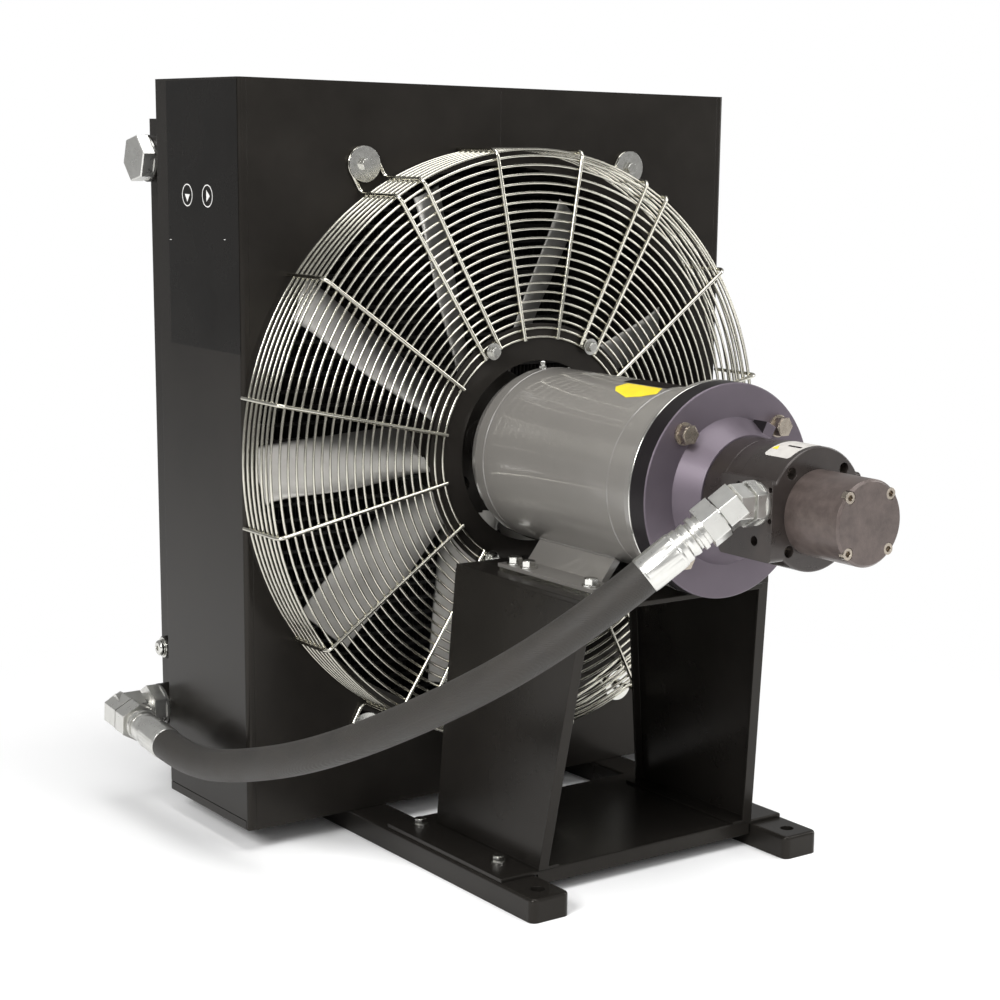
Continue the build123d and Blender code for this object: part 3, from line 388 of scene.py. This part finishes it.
curved_label("nameplate", box_outline(-0.225, -0.300, 80, 99.5),
             SHELL_R + LABEL_GAP, plate_dark)
curved_label("yellow_label", [(-0.236, 101), (-0.295, 101), (-0.304, 109.5),
                              (-0.289, 115), (-0.269, 118.5),
                              (-0.241, 113.5), (-0.232, 109)],
             SHELL_R + LABEL_GAP, yellow)
curved_label("pump_label", [(-0.4755, 82), (-0.4755, 121), (-0.479, 123.5),
                            (-0.510, 123.5), (-0.5125, 121), (-0.5125, 82)],
             PUMP_R + LABEL_GAP, white)
curved_label("pump_label_mark", [(-0.480, 106), (-0.4765, 113), (-0.485, 113)],
             PUMP_R + 2 * LABEL_GAP, yellow)
curved_label("pump_label_bar", box_outline(-0.490, -0.509, 102, 104.5),
             PUMP_R + 2 * LABEL_GAP, plate_dark)


# ---- Bright bare-metal ring where the motor's face meets the adapter, a painted highlight standing in for the chamfer's glint there ----
def face_joint_highlight(profile, count=180):
    """Ring about the motor axis through the profile's (y, radius) points."""
    bm = bmesh.new()
    rows = []
    for y, radius in profile:
        rows.append([bm.verts.new((radius * cos(2 * pi * k / count), y,
                                   AXIS_Z + radius * sin(2 * pi * k / count)))
                     for k in range(count)])
    for near, far in zip(rows, rows[1:]):
        for k in range(count):
            m = (k + 1) % count
            bm.faces.new((near[k], near[m], far[m], far[k]))
    new_mesh("face_joint_highlight", bm, zinc_steel, "frame")


# thin bright ring: painted highlight along the joint of the motor's face and the
# adapter
face_joint_highlight([(-0.3592, 0.11435), (-0.3600, 0.1145), (-0.3608, 0.11395)])

# ---- Side panel: a plain dark film with two arrow signs, down and across ----
SIGN_R, SIGN_IN_R = 0.0125, 0.0113
DOWN = (0.1605, 0.7432)
OVER = (0.1120, 0.7434)
DASH_LENGTH, DASH_HEIGHT = 0.004, 0.0007


def flat_shape(name, outlines, x, mat):
    """Flat shapes on the -X panel from lists of (y, z) points."""
    bm = bmesh.new()
    for outline in outlines:
        bm.faces.new([bm.verts.new((x, y, z)) for y, z in outline])
    thicken(new_mesh(name, bm, mat, "frame", smooth=False))


def band(cy, cz, outer, inner, count=40):
    """Quads that make a flat ring."""
    quads = []
    for k in range(count):
        a, b = 2 * pi * k / count, 2 * pi * (k + 1) / count
        quads.append([(cy + inner * cos(a), cz + inner * sin(a)),
                      (cy + outer * cos(a), cz + outer * sin(a)),
                      (cy + outer * cos(b), cz + outer * sin(b)),
                      (cy + inner * cos(b), cz + inner * sin(b))])
    return quads


def panel_signs():
    """A ring round each arrow head, and two short dashes lower down."""
    signs = band(*DOWN, SIGN_R, SIGN_IN_R) + band(*OVER, SIGN_R, SIGN_IN_R)
    y, z = DOWN
    signs.append([(y - 0.006, z + 0.001), (y + 0.006, z + 0.001), (y, z - 0.0075)])
    y, z = OVER
    signs.append([(y + 0.002, z + 0.0065), (y + 0.002, z - 0.0065), (y - 0.006, z)])
    for y, z, way in ((0.2060, 0.6915, -1), (0.0705, 0.6970, 1)):
        end = y + way * DASH_LENGTH
        signs.append([(y, z), (end, z), (end, z + DASH_HEIGHT), (y, z + DASH_HEIGHT)])
    flat_shape("panel_signs", signs, PANEL_X - 0.0003, print_white)


flat_shape("panel_film", [[(0.2085, 0.574), (0.0405, 0.574),
                           (0.0405, 0.8685), (0.2085, 0.8685)]],
           PANEL_X - 0.0001, vinyl)
panel_signs()

# ---- Welds: a bead along each foot, a nugget at each crossing of the guard ----
FOOT_X, FOOT_WELD_Z = 0.0535, 0.3685
BEAD_START_Y, BEAD_PITCH, BEADS = -0.128, 0.00294, 46
BEAD_SIZE = (0.0026, 0.0028, 0.0022)

GUARD_R, GUARD_IN_R = 0.351, 0.1345
GUARD_Y = SHROUD_FACE_Y - 0.0795        # spoke centre line at the outer bend
GUARD_IN_Y = SHROUD_FACE_Y - 0.0864     # and at the hub end
RINGS, RING_PITCH = 21, 0.0103
SPOKES = (12, 36, 80)                   # degrees, mirrored into each quarter
LOOPS = (60, 120, 240, 300)
LOOP_IN_HALF, LOOP_HALF = 0.0115, 0.018   # half a loop's width, hub and rim
NUGGET_R, NUGGET_LIFT = 0.0019, 0.0021


def add_blob(bm, centre, size, seed):
    """Small rounded lump of weld metal."""
    made = bmesh.ops.create_icosphere(bm, subdivisions=2, radius=1.0)
    for vert in made["verts"]:
        wobble = 1 + 0.25 * noise.noise(vert.co * 1.5 + Vector((seed, 0, 0)))
        vert.co = Vector(centre) + Vector(
            (vert.co.x * size[0], vert.co.y * size[1], vert.co.z * size[2])
        ) * wobble


def foot_weld(name, x):
    bm = bmesh.new()
    for k in range(BEADS):
        y = BEAD_START_Y - BEAD_PITCH * k
        add_blob(bm, (x, y, FOOT_WELD_Z), BEAD_SIZE, k * 3.1)
    new_mesh(name, bm, motor_paint, "frame")


def guard_welds():
    """One nugget where each wire, straight or of a loop, crosses each ring."""
    slope = (GUARD_Y - GUARD_IN_Y) / (GUARD_R - GUARD_IN_R)
    wires = [(a, 0, 0) for base in SPOKES
             for a in (base, 180 - base, 180 + base, 360 - base)]
    wires += [(a, s * LOOP_IN_HALF, s * LOOP_HALF) for a in LOOPS for s in (-1, 1)]
    bm = bmesh.new()
    for a, near, far in wires:
        t = radians(a)
        for i in range(RINGS):
            radius = GUARD_IN_R + RING_PITCH * i
            part = (radius - GUARD_IN_R) / (GUARD_R - GUARD_IN_R)
            off = near + (far - near) * part
            along = (radius * radius - off * off) ** 0.5
            spot = (along * cos(t) - off * sin(t),
                    GUARD_IN_Y + slope * (radius - GUARD_IN_R) + NUGGET_LIFT,
                    AXIS_Z + along * sin(t) + off * cos(t))
            made = bmesh.ops.create_icosphere(bm, subdivisions=1, radius=NUGGET_R)
            for vert in made["verts"]:
                vert.co += Vector(spot)
    new_mesh("guard_welds", bm, zinc_wire, "frame")


foot_weld("foot_weld_left", -FOOT_X)
foot_weld("foot_weld_right", FOOT_X)
guard_welds()


# ---- Floor and light ----
FLOOR_R = 6.0
FLOOR_DROP = 0.0002
FADE_START, FADE_END = 0.5, 1.05        # distance from the object's middle


def floor_white():
    """Matte white that fades into the white of the backdrop away from the object."""
    mat = bpy.data.materials.new("floor_white")
    mat.use_nodes = True
    nt = mat.node_tree
    links = nt.links
    bsdf = nt.nodes["Principled BSDF"]
    bsdf.inputs["Base Color"].default_value = (1.0, 1.0, 1.0, 1)
    bsdf.inputs["Roughness"].default_value = 0.9
    bsdf.inputs["Specular IOR Level"].default_value = 0.1
    coord = add_node(nt, "TexCoord")
    span = add_node(nt, "VectorMath")
    span.operation = "LENGTH"
    links.new(coord.outputs["Object"], span.inputs[0])
    fade = add_node(nt, "MapRange", {"From Min": FADE_START, "From Max": FADE_END})
    fade.interpolation_type = "SMOOTHSTEP"
    links.new(span.outputs["Value"], fade.inputs["Value"])
    direct = add_node(nt, "LightPath")
    both = add_node(nt, "Math")
    both.operation = "MULTIPLY"
    links.new(fade.outputs["Result"], both.inputs[0])
    links.new(direct.outputs["Is Camera Ray"], both.inputs[1])
    glow = add_node(nt, "Emission", {"Strength": 1.0})
    blend = add_node(nt, "MixShader")
    links.new(both.outputs["Value"], blend.inputs["Fac"])
    links.new(bsdf.outputs["BSDF"], blend.inputs[1])
    links.new(glow.outputs["Emission"], blend.inputs[2])
    links.new(blend.outputs["Shader"], nt.nodes["Material Output"].inputs["Surface"])
    return mat


def add_floor():
    bm = bmesh.new()
    bmesh.ops.create_circle(bm, cap_ends=True, segments=96, radius=FLOOR_R)
    mesh = bpy.data.meshes.new("floor")
    bm.to_mesh(mesh)
    bm.free()
    mesh.materials.append(floor_white())
    floor = bpy.data.objects.new("floor", mesh)
    floor.location = (0, 0, -FLOOR_DROP)
    bpy.context.scene.collection.objects.link(floor)


def soft_light(name, spot, target, size, power):
    """Rectangular area light aimed at a target."""
    data = bpy.data.lights.new(name, "AREA")
    data.shape = "RECTANGLE"
    data.size, data.size_y = size
    data.energy = power
    obj = bpy.data.objects.new(name, data)
    bpy.context.scene.collection.objects.link(obj)
    obj.location = spot
    aim = Vector(target) - Vector(spot)
    obj.rotation_euler = aim.to_track_quat("-Z", "Y").to_euler()


def add_world():
    """White surroundings: full white to the camera, dimmer as a light."""
    world = bpy.data.worlds.new("studio")
    bpy.context.scene.world = world
    world.use_nodes = True
    nt = world.node_tree
    back = nt.nodes["Background"]
    back.inputs["Color"].default_value = (1, 1, 1, 1)
    seen = add_node(nt, "LightPath")
    level = add_node(nt, "MapRange", {"To Min": 0.37, "To Max": 1.0})
    nt.links.new(seen.outputs["Is Camera Ray"], level.inputs["Value"])
    nt.links.new(level.outputs["Result"], back.inputs["Strength"])


add_floor()
soft_light("key", (-3.0, -1.5, 2.3), (0, -0.2, 0.4), (1.3, 1.3), 110)
soft_light("top", (0.2, -0.9, 3.6), (0, -0.1, 0), (2.6, 2.6), 88)
soft_light("front", (0.6, -3.4, 2.0), (0, 0, 0.4), (1.4, 1.4), 28)
soft_light("side", (3.0, -1.2, 1.6), (0, 0, 0.4), (1.0, 2.0), 40)
add_world()

view = bpy.context.scene.view_settings
view.view_transform = "Standard"
view.look = "None"
view.exposure = 0.0
